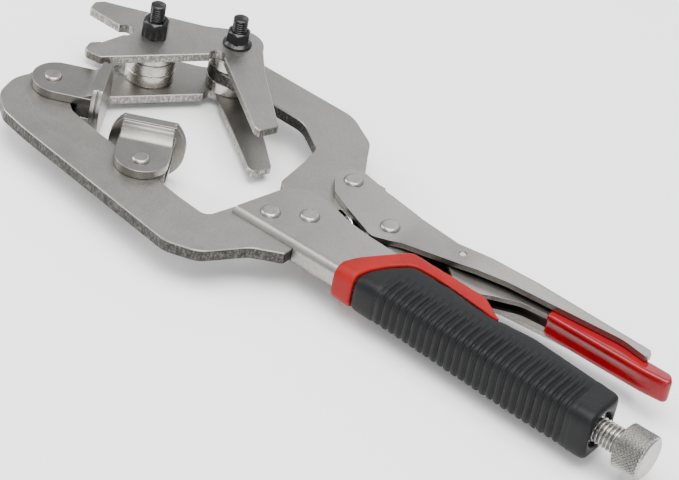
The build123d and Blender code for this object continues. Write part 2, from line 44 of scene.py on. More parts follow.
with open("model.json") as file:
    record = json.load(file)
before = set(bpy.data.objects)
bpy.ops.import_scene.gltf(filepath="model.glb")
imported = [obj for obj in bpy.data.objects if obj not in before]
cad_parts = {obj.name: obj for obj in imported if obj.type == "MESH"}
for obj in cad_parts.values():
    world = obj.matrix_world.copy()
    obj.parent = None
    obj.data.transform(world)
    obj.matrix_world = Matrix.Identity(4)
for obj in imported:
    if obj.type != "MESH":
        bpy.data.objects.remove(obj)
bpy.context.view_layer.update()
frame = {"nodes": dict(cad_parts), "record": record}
MM = 0.001
JOINTS = {joint["name"]: joint for joint in frame["record"]["behaviour"]["joints"]}
BODY_OF = {
    node: body
    for body, nodes in frame["record"]["behaviour"]["bodies"].items()
    for node in nodes
}
SLOT_OF = {part["node"]: part["material_slot"] for part in frame["record"]["subparts"]}


def joint_at(name):
    """Pivot of a joint in the row frame."""
    return Vector(JOINTS[name]["pos_m"])


MAIN = joint_at("arm_swing")  # the main pivot; distances below are taken from it
SCREW_LINE = joint_at("knob_spin")


def middle(node):
    """Middle of a CAD node's box."""
    low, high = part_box(node)
    return (Vector(low) + Vector(high)) / 2


# ---- settings ---------------------------------------------------------------------------
class PliersSteel(bpy.types.PropertyGroup):
    plate_color: bpy.props.FloatVectorProperty(
        name="Plate colour", description="Satin nickel plate on the forged and folded parts",
        default=(0.285, 0.272, 0.252), size=3, subtype="COLOR", min=0, max=1)
    plate_rough: bpy.props.FloatProperty(
        name="Plate roughness", description="Spread of the plate's reflections",
        default=0.38, min=0, max=1, subtype="FACTOR")
    edge_round: bpy.props.FloatProperty(
        name="Edge rounding", description="Width of the rolled edge on plates",
        default=0.00045, min=0, unit="LENGTH", subtype="DISTANCE")


class PliersGrip(bpy.types.PropertyGroup):
    rubber_color: bpy.props.FloatVectorProperty(
        name="Rubber colour", description="Black ribbed rubber of the grip",
        default=(0.0055, 0.0057, 0.0062), size=3, subtype="COLOR", min=0, max=1)
    band_color: bpy.props.FloatVectorProperty(
        name="Band colour", description="Red rubber band at the front of the grip",
        default=(0.21, 0.0045, 0.004), size=3, subtype="COLOR", min=0, max=1)
    rib_pitch: bpy.props.FloatProperty(
        name="Rib pitch", description="Distance from one rib to the next",
        default=0.0031, min=0.001, unit="LENGTH", subtype="DISTANCE")
    rib_depth: bpy.props.FloatProperty(
        name="Rib depth", description="Depth of the grooves between ribs",
        default=0.00085, min=0, unit="LENGTH", subtype="DISTANCE")
    sleeve_color: bpy.props.FloatVectorProperty(
        name="Sleeve colour", description="Glossy vinyl dipped over the release lever",
        default=(0.20, 0.0015, 0.0045), size=3, subtype="COLOR", min=0, max=1)


class PliersFasteners(bpy.types.PropertyGroup):
    oxide_color: bpy.props.FloatVectorProperty(
        name="Oxide colour", description="Black oxide on the bolts and nuts",
        default=(0.0065, 0.0065, 0.007), size=3, subtype="COLOR", min=0, max=1)
    bolt_pitch: bpy.props.FloatProperty(
        name="Bolt thread pitch", description="Thread pitch of the jaw bolts",
        default=0.0009, min=0.0003, unit="LENGTH", subtype="DISTANCE")
    screw_pitch: bpy.props.FloatProperty(
        name="Screw thread pitch", description="Thread pitch of the adjusting screw",
        default=0.0015, min=0.0005, unit="LENGTH", subtype="DISTANCE")
    knurl_count: bpy.props.IntProperty(
        name="Knurls round the knob", description="Diamonds in one turn of the knurl",
        default=32, min=8, max=90)


class PliersStage(bpy.types.PropertyGroup):
    distance: bpy.props.FloatProperty(
        name="Camera distance", description="From the camera to the middle of the tool",
        default=1.0353, unit="LENGTH", subtype="DISTANCE")
    elevation: bpy.props.FloatProperty(
        name="Camera elevation", description="Height of the camera above the floor's plane",
        default=radians(36.351), unit="ROTATION", subtype="ANGLE")
    heading: bpy.props.FloatProperty(
        name="Camera heading", description="Turn of the camera's right from the tool's length",
        default=radians(30.4), unit="ROTATION", subtype="ANGLE")
    roll: bpy.props.FloatProperty(
        name="Camera roll", description="Tilt of the camera about its line of sight",
        default=radians(11.455), unit="ROTATION", subtype="ANGLE")
    lens: bpy.props.FloatProperty(
        name="Lens", description="Focal length for a 36 mm wide sensor, in millimetres",
        default=154.79, min=20)
    floor_color: bpy.props.FloatVectorProperty(
        name="Floor colour", description="Plain pale floor",
        default=(0.93, 0.93, 0.93), size=3, subtype="COLOR", min=0, max=1)


# ---- materials --------------------------------------------------------------------------
class Nodes:
    """Short hand for building one material's node tree."""

    def __init__(self, name):
        self.material = bpy.data.materials.new(name)
        self.material.use_nodes = True
        self.tree = self.material.node_tree
        self.shader = self.tree.nodes["Principled BSDF"]
        self.coords = self.add("ShaderNodeTexCoord")

    def add(self, kind, **values):
        node = self.tree.nodes.new(kind)
        for key, value in values.items():
            if hasattr(node, key):
                setattr(node, key, value)
            else:
                node.inputs[key.replace("_", " ")].default_value = value
        return node

    def join(self, source, target):
        self.tree.links.new(source, target)

    def set(self, **values):
        for key, value in values.items():
            self.shader.inputs[key.replace("_", " ")].default_value = value

    def noise(self, scale, detail=4.0, rough=0.6, stretch=None, turn=0.0):
        """Noise on object coordinates, optionally stretched along one direction."""
        place = self.add("ShaderNodeMapping")
        self.join(self.coords.outputs["Object"], place.inputs["Vector"])
        place.inputs["Rotation"].default_value = (0, 0, turn)
        if stretch:
            place.inputs["Scale"].default_value = stretch
        noise = self.add("ShaderNodeTexNoise", Scale=scale, Detail=detail, Roughness=rough)
        self.join(place.outputs["Vector"], noise.inputs["Vector"])
        return noise.outputs["Fac"]

    def ramp(self, factor, stops):
        """Colour ramp from (position, grey or colour) stops."""
        ramp = self.add("ShaderNodeValToRGB")
        elements = ramp.color_ramp.elements
        while len(elements) < len(stops):
            elements.new(0.5)
        for element, (position, color) in zip(elements, stops):
            element.position = position
            grey = isinstance(color, (int, float))
            element.color = (color, color, color, 1) if grey else (*color, 1)
        self.join(factor, ramp.inputs["Fac"])
        return ramp.outputs["Color"]

    def mix(self, factor, first, second, blend="MIX"):
        """Mix of two colours; each of the three may be a socket or a constant."""
        mix = self.add("ShaderNodeMix", data_type="RGBA", blend_type=blend)
        for socket, value in zip((mix.inputs[0], mix.inputs[6], mix.inputs[7]), (factor, first, second)):
            if isinstance(value, bpy.types.NodeSocket):
                self.join(value, socket)
            elif isinstance(value, (int, float)):
                socket.default_value = value
            else:
                socket.default_value = (*value, 1)
        return mix.outputs[2]

    def math(self, operation, first, second=0.0, third=0.0):
        node = self.add("ShaderNodeMath", operation=operation)
        for socket, value in zip(node.inputs, (first, second, third)):
            if isinstance(value, bpy.types.NodeSocket):
                self.join(value, socket)
            else:
                socket.default_value = value
        return node.outputs[0]

    def bump(self, *layers):
        """Chain of (height, strength, distance) bumps into the shader's normal."""
        normal = None
        for height, strength, distance in layers:
            bump = self.add("ShaderNodeBump", Strength=strength, Distance=distance)
            self.join(height, bump.inputs["Height"])
            if normal:
                self.join(normal, bump.inputs["Normal"])
            normal = bump.outputs["Normal"]
        self.join(normal, self.shader.inputs["Normal"])

    def upright(self):
        """One on walls that stand upright, nothing on faces that lie flat."""
        parts = self.add("ShaderNodeSeparateXYZ")
        self.join(self.coords.outputs["Normal"], parts.inputs[0])
        lying = self.math("ABSOLUTE", parts.outputs["Z"])
        return self.math("SMOOTH_MIN", self.math("MULTIPLY_ADD", lying, -4.0, 2.6), 1.0, 0.1)


def shade(color, factor):
    return tuple(min(1.0, channel * factor) for channel in color)


def satin_steel(name, color, rough, walls=1.0, shear=0.3):
    """Satin plate: blasted grain on the faces, sheared or bright grain on upright walls."""
    m = Nodes(name)
    m.set(Metallic=1.0)
    cloud = m.noise(30.0, 4.0, 0.65)
    grain = m.noise(1900.0, 3.0, 0.6)
    drag = m.noise(300.0, 4.0, 0.7, stretch=(0.15, 1.0, 1.0), turn=0.5)
    tear = m.noise(1300.0, 4.0, 0.7, stretch=(1.0, 1.0, 0.5))
    patch = m.noise(120.0, 3.0, 0.6)
    face = m.mix(m.ramp(cloud, [(0.3, 0.0), (0.7, 1.0)]), shade(color, 0.9), shade(color, 1.07))
    specks = m.ramp(grain, [(0.3, 0.86), (0.62, 1.04)])
    face = m.mix(1.0, face, specks, "MULTIPLY")
    wall = m.ramp(tear, [(0.3, shade(color, shear * 0.45)), (0.52, shade(color, shear)),
                         (0.72, shade(color, shear * 2.4))])
    upright = m.math("MULTIPLY", m.upright(), walls)
    m.join(m.mix(upright, face, wall), m.shader.inputs["Base Color"])
    satin = m.ramp(m.mix(0.5, drag, patch), [(0.3, rough * 0.85), (0.7, rough * 1.18)])
    ripped = m.ramp(tear, [(0.35, 0.6), (0.65, 0.34)])
    m.join(m.mix(upright, satin, ripped), m.shader.inputs["Roughness"])
    torn = m.math("MULTIPLY", tear, upright)
    m.bump((grain, 0.25, 0.00004), (torn, 0.6 * walls + 0.01, 0.00014))
    return m.material


def turned_steel(name, color, rough):
    """Turned or drawn steel: bright with a faint cloud and scuffs."""
    m = Nodes(name)
    m.set(Metallic=1.0)
    cloud = m.noise(140.0, 4.0, 0.6)
    scuff = m.noise(700.0, 4.0, 0.7, stretch=(1.0, 0.4, 1.0), turn=0.7)
    m.join(m.mix(m.ramp(cloud, [(0.3, 0.0), (0.7, 1.0)]), shade(color, 0.78), shade(color, 1.12)),
           m.shader.inputs["Base Color"])
    m.join(m.ramp(scuff, [(0.35, rough * 0.75), (0.7, rough * 1.3)]), m.shader.inputs["Roughness"])
    m.bump((scuff, 0.1, 0.00003))
    return m.material


def black_oxide(name, color):
    """Oiled black oxide: near black, low sheen, lighter where handling has worn it."""
    m = Nodes(name)
    m.set(Metallic=0.35, Specular_IOR_Level=0.6)
    wear = m.noise(900.0, 5.0, 0.7)
    oil = m.noise(260.0, 3.0, 0.5)
    m.join(m.ramp(wear, [(0.45, shade(color, 0.8)), (0.66, shade(color, 1.8)), (0.82, shade(color, 4.0))]),
           m.shader.inputs["Base Color"])
    m.join(m.ramp(oil, [(0.3, 0.2), (0.7, 0.36)]), m.shader.inputs["Roughness"])
    m.bump((wear, 0.2, 0.00004))
    return m.material


def moulded_rubber(name, color, rough, dust):
    """Moulded rubber: fine spark-eroded grain, with dust caught in it."""
    m = Nodes(name)
    m.set(Specular_IOR_Level=0.16)
    grain = m.noise(2200.0, 3.0, 0.6)
    cloud = m.noise(70.0, 4.0, 0.6)
    specks = m.noise(1500.0, 2.0, 0.5)
    tone = m.mix(m.ramp(cloud, [(0.3, 0.0), (0.75, 1.0)]), shade(color, 0.85), shade(color, 1.2))
    dusty = m.mix(m.ramp(specks, [(0.66, 0.0), (0.78, dust)]), tone, (0.35, 0.34, 0.33))
    m.join(dusty, m.shader.inputs["Base Color"])
    m.join(m.ramp(cloud, [(0.3, rough * 0.9), (0.7, rough * 1.12)]), m.shader.inputs["Roughness"])
    m.bump((grain, 0.3, 0.00006), (cloud, 0.1, 0.0004))
    return m.material


def dipped_vinyl(name, color):
    """Glossy dipped vinyl: thick coat with slow ripples and a slight orange peel."""
    m = Nodes(name)
    m.set(Coat_Weight=0.25, Coat_Roughness=0.05, Specular_IOR_Level=0.25)
    ripple = m.noise(90.0, 2.0, 0.5)
    peel = m.noise(700.0, 2.0, 0.5)
    m.join(m.mix(m.ramp(ripple, [(0.3, 0.0), (0.7, 1.0)]), shade(color, 0.8), shade(color, 1.15)),
           m.shader.inputs["Base Color"])
    m.join(m.ramp(peel, [(0.3, 0.16), (0.7, 0.27)]), m.shader.inputs["Roughness"])
    m.bump((ripple, 0.25, 0.0006), (peel, 0.06, 0.0001))
    return m.material


def pale_floor(name, color):
    m = Nodes(name)
    m.set(Roughness=0.9, Specular_IOR_Level=0.1)
    cloud = m.noise(6.0, 2.0, 0.5)
    m.join(m.mix(cloud, shade(color, 0.99), shade(color, 1.01)), m.shader.inputs["Base Color"])
    return m.material


# ---- mesh helpers -----------------------------------------------------------------------
def piece(name, mesh, material, body, slot, *nodes):
    """Links a finished mesh as one piece that rides a body and stands for CAD nodes."""
    mesh.name = name
    mesh.materials.clear()
    mesh.materials.append(material)
    made = bpy.data.objects.new(name, mesh)
    bpy.context.scene.collection.objects.link(made)
    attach(made, body)
    if nodes:
        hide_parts(*nodes)
    return made


def settled(thing):
    """The evaluated mesh of an object, with its modifiers and node trees made real."""
    bpy.context.view_layer.update()
    shown = thing.evaluated_get(bpy.context.evaluated_depsgraph_get())
    mesh = bpy.data.meshes.new_from_object(shown)
    bpy.data.objects.remove(thing)
    return mesh


def merged_copy(*nodes):
    """CAD nodes' triangles as one closed mesh whose flat faces are whole."""
    bm = bmesh.new()
    for node in nodes:
        bm.from_mesh(frame["nodes"][node].data)
    bmesh.ops.remove_doubles(bm, verts=bm.verts, dist=1e-6)
    bmesh.ops.dissolve_limit(bm, angle_limit=radians(0.6), verts=bm.verts, edges=bm.edges)
    mesh = bpy.data.meshes.new("copy")
    bm.to_mesh(mesh)
    bm.free()
    return mesh


def rolled_edges(node, width, segments=3, angle=38):
    """A CAD node's copy with its sharp edges rolled over and weighted shading."""
    thing = bpy.data.objects.new("work", merged_copy(node))
    bpy.context.scene.collection.objects.link(thing)
    thing.data.shade_smooth()
    roll = thing.modifiers.new("roll", "BEVEL")
    roll.width = width
    roll.segments = segments
    roll.limit_method = "ANGLE"
    roll.angle_limit = radians(angle)
    roll.use_clamp_overlap = True
    even = thing.modifiers.new("even", "WEIGHTED_NORMAL")
    even.weight = 80
    return settled(thing)


def cut_off(mesh, beyond):
    """Ends a closed mesh at an upright plane across X and closes the cut."""
    bm = bmesh.new()
    bm.from_mesh(mesh)
    parts = bm.verts[:] + bm.edges[:] + bm.faces[:]
    cut = bmesh.ops.bisect_plane(
        bm, geom=parts, dist=1e-7, plane_co=(beyond, 0, 0), plane_no=(1, 0, 0), clear_outer=True)
    rim = [part for part in cut["geom_cut"] if isinstance(part, bmesh.types.BMEdge)]
    bmesh.ops.triangle_fill(bm, use_beauty=True, edges=rim)
    bmesh.ops.recalc_face_normals(bm, faces=bm.faces)
    bm.to_mesh(mesh)
    bm.free()


def soft_copy(nodes, voxel, passes):
    """CAD nodes' copy remeshed fine and smoothed, as a moulded or dipped skin."""
    thing = bpy.data.objects.new("work", merged_copy(*nodes))
    bpy.context.scene.collection.objects.link(thing)
    skin = thing.modifiers.new("skin", "REMESH")
    skin.mode = "VOXEL"
    skin.voxel_size = voxel
    skin.use_smooth_shade = True
    ease = thing.modifiers.new("ease", "SMOOTH")
    ease.factor = 0.6
    ease.iterations = passes
    return settled(thing)


def from_lists(verts, faces, smooth=True):
    mesh = bpy.data.meshes.new("made")
    mesh.from_pydata([tuple(v) for v in verts], [], faces)
    bm = bmesh.new()
    bm.from_mesh(mesh)
    bmesh.ops.remove_doubles(bm, verts=bm.verts, dist=1e-7)
    bmesh.ops.recalc_face_normals(bm, faces=bm.faces)
    bm.to_mesh(mesh)
    bm.free()
    if smooth:
        mesh.shade_smooth()
        mesh.set_sharp_from_angle(angle=radians(35))
    return mesh


def turned(rings, around, steps=64):
    """Closed solid of revolution about Z from (radius function or value, height) rings."""
    verts, faces = [], []
    for radius, height in rings:
        for step in range(steps):
            turn = 2 * pi * step / steps
            r = radius(turn, height) if callable(radius) else radius
            verts.append(around @ Vector((r * cos(turn), r * sin(turn), height)))
    for ring in range(len(rings) - 1):
        for step in range(steps):
            a, b = ring * steps + step, ring * steps + (step + 1) % steps
            faces.append((a, b, b + steps, a + steps))
    faces.append(tuple(reversed(range(steps))))
    faces.append(tuple(range((len(rings) - 1) * steps, len(rings) * steps)))
    return from_lists(verts, faces)


def thread_rings(radius, depth, pitch, low, high, turns_step=12):
    """Rings for turned() whose radius follows a helical V thread."""

    def wave(turn, height):
        phase = ((height - low) / pitch + turn / (2 * pi)) % 1.0
        groove = max(0.0, 1.35 * abs(2 * phase - 1) - 0.35)
        fade = min(1.0, (height - low) / pitch, (high - height) / pitch)
        return radius - depth * groove * max(fade, 0.0)

    count = ceil((high - low) / pitch * turns_step)
    return [(wave, low + (high - low) * i / count) for i in range(count + 1)]


def wound_tree():
    """Geometry Nodes: a wire wound on a helix, with a round section."""
    tree = bpy.data.node_groups.new("wound_wire", "GeometryNodeTree")
    face = tree.interface
    face.new_socket("Geometry", in_out="OUTPUT", socket_type="NodeSocketGeometry")
    sizes = {"Turns": 20.0, "Coil radius": 0.002, "Length": 0.02, "Wire radius": 0.0005}
    for name, default in sizes.items():
        socket = face.new_socket(name, in_out="INPUT", socket_type="NodeSocketFloat")
        socket.default_value = default
    face.new_socket("Material", in_out="INPUT", socket_type="NodeSocketMaterial")
    nodes, links = tree.nodes, tree.links
    given, out = nodes.new("NodeGroupInput"), nodes.new("NodeGroupOutput")
    coil = nodes.new("GeometryNodeCurveSpiral")
    coil.inputs["Resolution"].default_value = 28
    wire = nodes.new("GeometryNodeCurvePrimitiveCircle")
    wire.inputs["Resolution"].default_value = 12
    sweep = nodes.new("GeometryNodeCurveToMesh")
    sweep.inputs["Fill Caps"].default_value = True
    smooth = nodes.new("GeometryNodeSetShadeSmooth")
    real = nodes.new("GeometryNodeRealizeInstances")
    paint = nodes.new("GeometryNodeSetMaterial")
    links.new(given.outputs["Turns"], coil.inputs["Rotations"])
    links.new(given.outputs["Coil radius"], coil.inputs["Start Radius"])
    links.new(given.outputs["Coil radius"], coil.inputs["End Radius"])
    links.new(given.outputs["Length"], coil.inputs["Height"])
    links.new(given.outputs["Wire radius"], wire.inputs["Radius"])
    links.new(coil.outputs["Curve"], sweep.inputs["Curve"])
    links.new(wire.outputs["Curve"], sweep.inputs["Profile Curve"])
    links.new(sweep.outputs["Mesh"], smooth.inputs["Geometry"])
    links.new(smooth.outputs["Geometry"], real.inputs["Geometry"])
    links.new(real.outputs["Geometry"], paint.inputs["Geometry"])
    links.new(given.outputs["Material"], paint.inputs["Material"])
    links.new(paint.outputs["Geometry"], out.inputs["Geometry"])
    return tree


def rivet_tree():
    """Geometry Nodes: one button rivet head with a pressed flat crown at each point."""
    tree = bpy.data.node_groups.new("rivet_heads", "GeometryNodeTree")
    face = tree.interface
    face.new_socket("Geometry", in_out="INPUT", socket_type="NodeSocketGeometry")
    face.new_socket("Geometry", in_out="OUTPUT", socket_type="NodeSocketGeometry")
    for name, default in {"Head radius": 0.00365, "Crown": 0.0011}.items():
        socket = face.new_socket(name, in_out="INPUT", socket_type="NodeSocketFloat")
        socket.default_value = default
    face.new_socket("Material", in_out="INPUT", socket_type="NodeSocketMaterial")
    nodes, links = tree.nodes, tree.links
    given, out = nodes.new("NodeGroupInput"), nodes.new("NodeGroupOutput")
    ball = nodes.new("GeometryNodeMeshUVSphere")
    ball.inputs["Segments"].default_value = 48
    ball.inputs["Rings"].default_value = 24
    squash = nodes.new("ShaderNodeCombineXYZ")
    squash.inputs["X"].default_value = 1.0
    squash.inputs["Y"].default_value = 1.0
    ratio = nodes.new("ShaderNodeMath")
    ratio.operation = "DIVIDE"
    flat = nodes.new("GeometryNodeTransform")
    spread = nodes.new("GeometryNodeInstanceOnPoints")
    where = nodes.new("GeometryNodeInputPosition")
    split = nodes.new("ShaderNodeSeparateXYZ")
    press = nodes.new("GeometryNodeSetPosition")
    level = nodes.new("ShaderNodeClamp")
    ceiling, bottom = nodes.new("ShaderNodeMath"), nodes.new("ShaderNodeMath")
    again = nodes.new("ShaderNodeCombineXYZ")
    smooth = nodes.new("GeometryNodeSetShadeSmooth")
    real = nodes.new("GeometryNodeRealizeInstances")
    paint = nodes.new("GeometryNodeSetMaterial")
    for limit, share in ((ceiling, 0.64), (bottom, -0.64)):
        limit.operation = "MULTIPLY"
        limit.inputs[1].default_value = share
        links.new(given.outputs["Crown"], limit.inputs[0])
    links.new(where.outputs["Position"], split.inputs[0])
    links.new(split.outputs["Z"], level.inputs["Value"])
    links.new(bottom.outputs[0], level.inputs["Min"])
    links.new(ceiling.outputs[0], level.inputs["Max"])
    links.new(split.outputs["X"], again.inputs["X"])
    links.new(split.outputs["Y"], again.inputs["Y"])
    links.new(level.outputs[0], again.inputs["Z"])
    links.new(flat.outputs["Geometry"], press.inputs["Geometry"])
    links.new(again.outputs[0], press.inputs["Position"])
    links.new(given.outputs["Head radius"], ball.inputs["Radius"])
    links.new(given.outputs["Crown"], ratio.inputs[0])
    links.new(given.outputs["Head radius"], ratio.inputs[1])
    links.new(ratio.outputs[0], squash.inputs["Z"])
    links.new(ball.outputs["Mesh"], flat.inputs["Geometry"])
    links.new(squash.outputs[0], flat.inputs["Scale"])
    links.new(given.outputs["Geometry"], spread.inputs["Points"])
    links.new(press.outputs["Geometry"], spread.inputs["Instance"])
    links.new(spread.outputs["Instances"], real.inputs["Geometry"])
    links.new(real.outputs["Geometry"], smooth.inputs["Geometry"])
    links.new(smooth.outputs["Geometry"], paint.inputs["Geometry"])
    links.new(given.outputs["Material"], paint.inputs["Material"])
    links.new(paint.outputs["Geometry"], out.inputs["Geometry"])
    return tree


def grown(tree, base, **values):
    """Runs a node tree on a base mesh and returns the plain mesh it makes."""
    thing = bpy.data.objects.new("work", base)
    bpy.context.scene.collection.objects.link(thing)
    grow = thing.modifiers.new("grow", "NODES")
    grow.node_group = tree
    for item in tree.interface.items_tree:
        key = item.name.replace(" ", "_")
        if item.in_out == "INPUT" and key in values:
            grow[item.identifier] = values[key]
    return settled(thing)


def joined(*meshes):
    bm = bmesh.new()
    for mesh in meshes:
        bm.from_mesh(mesh)
    out = bpy.data.meshes.new("joined")
    bm.to_mesh(out)
    bm.free()
    return out


# ---- operators --------------------------------------------------------------------------
PLATES = {
    "fixed_arm": "lower_arm_forging", "moving_arm": "upper_arm_forging",
    "handle_channel": "folded_handle", "lever": "folded_lever",
    "upper_jaw_plate": "jaw_plate_top", "lower_jaw_plate": "jaw_plate_bottom",
    "tip_pad": "swivel_pad_tip", "mid_pad": "swivel_pad_mid",
    "toggle_link": "toggle_bar", "release_lever": "release_channel",
}
TURNED = {
    "spacer_discs": "jaw_spacers", "pivot_washers": "jaw_washers", "release_pin": "release_pivot_pin",
    "thrust_tip": "thrust_button", "screw_bushing": "rear_bushing", "spring_pin": "spring_cross_pin",
}


class PLIERS_OT_plates(bpy.types.Operator):
    """Satin steel arms, channels, jaw plates and pads with rolled edges."""

    bl_idname = "pliers.plates"
    bl_label = "Steel plates"

    def execute(self, context):
        steel = context.scene.pliers_steel
        color, rough = steel.plate_color, steel.plate_rough
        sheared = satin_steel("sheared_plate", color, rough, 1.0, 0.2)
        cut = satin_steel("cut_plate", shade(color, 1.03), rough, 0.9, 0.85)
        folded = satin_steel("folded_sheet", shade(color, 1.05), rough * 0.9, 0.2, 0.9)
        pressed = satin_steel("pressed_pad", shade(color, 0.92), rough * 0.8, 0.15, 0.9)
        looks = {"handle_channel": folded, "lever": folded, "release_lever": folded,
                 "tip_pad": pressed, "mid_pad": pressed,
                 "upper_jaw_plate": cut, "lower_jaw_plate": cut}
        widths = {"handle_channel": 1.0, "lever": 1.1, "release_lever": 0.8,
                  "tip_pad": 1.3, "mid_pad": 1.3}
        for node, name in PLATES.items():
            mesh = rolled_edges(node, steel.edge_round * widths.get(node, 1.0))
            if node == "release_lever":
                cut_off(mesh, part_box("release_sleeve")[0][0] + 0.003)
            piece(name, mesh, looks.get(node, sheared), BODY_OF[node], SLOT_OF[node], node)
        return {"FINISHED"}


class PLIERS_OT_pad_bends(bpy.types.Operator):
    """Bent shoulders from the ears of each pad up to its face, toothed on the middle pad."""

    bl_idname = "pliers.pad_bends"
    bl_label = "Pad shoulders"

    def execute(self, context):
        steel = context.scene.pliers_steel
        # The shoulders get a darker copy of the pad's pressed steel (0.82 against 0.92 of the plate
        # colour): painted shade that damps the light the bends catch.
        pressed = satin_steel("pad_shoulder", shade(steel.plate_color, 0.82), steel.plate_rough,
                              0.1, 0.9)
        pads = (
            ("tip_pad", "tip_pad_swivel", radians(29.3), 0.0119, 0.0076, False),
            ("mid_pad", "mid_pad_swivel", radians(120.65), 0.0095, 0.0102, True),
        )
        for node, joint, facing, start, top, toothed in pads:
            place = Matrix.Translation(joint_at(joint)) @ Matrix.Rotation(facing, 4, "Z")
            grooves = (0.0139, 0.0153, 0.0166) if toothed else ()
            profile = []
            for i in range(61):
                u = start + (0.0167 - start) * i / 60
                rise = (top - 0.00588) * (0.5 - 0.5 * cos(pi * i / 60)) ** 1.3
                notch = max((1 - abs(u - groove) / 0.0004 for groove in grooves), default=0)
                profile.append((u, 0.00588 + rise - 0.0006 * max(0.0, notch)))
            profile += [(0.0169, top - 0.0003), (0.0169, 0.0045), (start, 0.0045)]
            half = sqrt(0.0142 ** 2 - top ** 2) - 0.0003 if toothed else 0.0093
            verts, faces, count = [], [], len(profile)
            for side in (1, -1):
                base = len(verts)
                stations = [(-half, 0.0), (-half + 0.0004, 1.0), (half - 0.0004, 1.0), (half, 0.0)]
                for across, full in stations:
                    for u, z in profile:
                        low = 0.0045 + (z - 0.0045) * (0.93 + 0.07 * full)
                        verts.append(place @ Vector((u, across, side * low)))
                for row in range(len(stations) - 1):
                    for i in range(count):
                        a, b = base + row * count + i, base + row * count + (i + 1) % count
                        faces.append((a, b, b + count, a + count))
                faces.append(tuple(range(base, base + count)))
                faces.append(tuple(range(base + 3 * count, base + 4 * count)))
            piece(node + "_shoulders", from_lists(verts, faces), pressed, BODY_OF[node], SLOT_OF[node])
        return {"FINISHED"}


class PLIERS_OT_turned(bpy.types.Operator):
    """Discs, washers, bushing and pins in turned steel."""

    bl_idname = "pliers.turned"
    bl_label = "Turned parts"

    def execute(self, context):
        bright = turned_steel("turned_satin", (0.47, 0.455, 0.42), 0.25)
        for node, name in TURNED.items():
            mesh = rolled_edges(node, 0.0005 if "washer" in node or "disc" in node else 0.0001)
            piece(name, mesh, bright, BODY_OF[node], SLOT_OF[node], node)
        return {"FINISHED"}


class PLIERS_OT_rivets(bpy.types.Operator):
    """Domed rivets of the pivots and pads."""

    bl_idname = "pliers.rivets"
    bl_label = "Rivets"

    def execute(self, context):
        tree = rivet_tree()
        bright = turned_steel("rivet_steel", (0.31, 0.30, 0.285), 0.33)
        offset = Vector((-0.0109, -0.009, 0))  # the fixed arm's rivet from the main pivot
        groups = {
            "body_rivets": ([MAIN, MAIN + offset], 0.0048, 0.00375, 0.0017, 0.0025),
            "lever_rivets": (
                [joint_at("lever_swing"), joint_at("link_swing")], 0.0048, 0.00375, 0.0017, 0.0025),
            "pad_rivets": (
                [joint_at("tip_pad_swivel"), joint_at("mid_pad_swivel")], 0.006, 0.0034, 0.0015, 0.0022),
        }
        for node, (places, seat, radius, crown, shank) in groups.items():
            points, stems = [], []
            for place in places:
                for side in (-1, 1):
                    points.append(place + Vector((0, 0, side * (seat + 0.00002))))
                stems.append(turned(
                    [(shank, -seat - 0.0001), (shank, seat + 0.0001)], Matrix.Translation(place), 48))
            base = bpy.data.meshes.new("points")
            base.from_pydata([tuple(p) for p in points], [], [])
            heads = grown(tree, base, Head_radius=radius, Crown=crown, Material=bright)
            piece(node + "_domed", joined(heads, *stems), bright, BODY_OF[node], SLOT_OF[node], node)
        return {"FINISHED"}


class PLIERS_OT_fasteners(bpy.types.Operator):
    """Black bolts with cut threads, the flanged nut and the tall nut."""

    bl_idname = "pliers.fasteners"
    bl_label = "Bolts and nuts"

    def execute(self, context):
        sizes = context.scene.pliers_fasteners
        black = black_oxide("black_oxide", sizes.oxide_color)

        def hexagon(flat):
            """Hexagon across its flats, as a radius function of the turn."""
            def radius(turn, height):
                return flat / cos(turn % (pi / 3) - pi / 6)
            return radius

        def nut(node, flat, flange):
            low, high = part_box(node)
            at = Matrix.Translation((middle(node).x, middle(node).y, 0))
            flats, corner = hexagon(flat), flat / cos(pi / 6)
            rings = [(0.0031, low[2])]
            if flange:
                rings += [(flange - 0.0002, low[2]), (flange, low[2] + 0.0003),
                          (flange - 0.0001, low[2] + 0.0009), (corner - 0.0003, low[2] + 0.0017)]
            else:
                rings += [(flat, low[2]), (flats, low[2] + 0.0004)]
            base = low[2] + (0.0018 if flange else 0.0004)
            rings += [(flats, base), (flats, high[2] - 0.0009)]
            for step in range(1, 7):
                cone = corner + 0.0001 - 0.00021 * step
                rings.append((lambda turn, height, cone=cone: min(cone, flats(turn, height)),
                              high[2] - 0.0009 + 0.00015 * step))
            rings += [(0.0033, high[2]), (0.0029, high[2] - 0.0004)]
            return turned(rings, at, 96)

        piece("nut_flanged", nut("pivot_flange_nut", 0.0041, 0.0056), black,
              BODY_OF["pivot_flange_nut"], SLOT_OF["pivot_flange_nut"], "pivot_flange_nut")
        piece("nut_tall", nut("spacer_nut", 0.0047, 0), black, BODY_OF["spacer_nut"],
              SLOT_OF["spacer_nut"], "spacer_nut")
        low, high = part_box("jaw_bolts")
        head_top = low[2] + 0.0035
        pivot = joint_at("jaw_swivel")
        spacer = middle("spacer_nut")
        tops = {"pivot": high[2] - 0.0018, "spacer": high[2]}
        meshes = []
        for which, at in (("pivot", pivot), ("spacer", spacer)):
            around = Matrix.Translation((at.x, at.y, 0))
            head = hexagon(0.0047)
            meshes.append(turned(
                [(0.0042, low[2]), (head, low[2] + 0.0003), (head, head_top)], around, 72))
            rings = [(0.00289, head_top - 0.0001), (0.00289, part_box("spacer_nut")[0][2] + 0.0002)]
            rings += thread_rings(
                0.0029, 0.0005, sizes.bolt_pitch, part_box("spacer_nut")[0][2] + 0.0003,
                tops[which] - 0.0004)
            rings.append((0.0022, tops[which]))
            meshes.append(turned(rings, around, 40))
        piece("bolts_threaded", joined(*meshes), black, BODY_OF["jaw_bolts"], SLOT_OF["jaw_bolts"],
              "jaw_bolts")
        return {"FINISHED"}


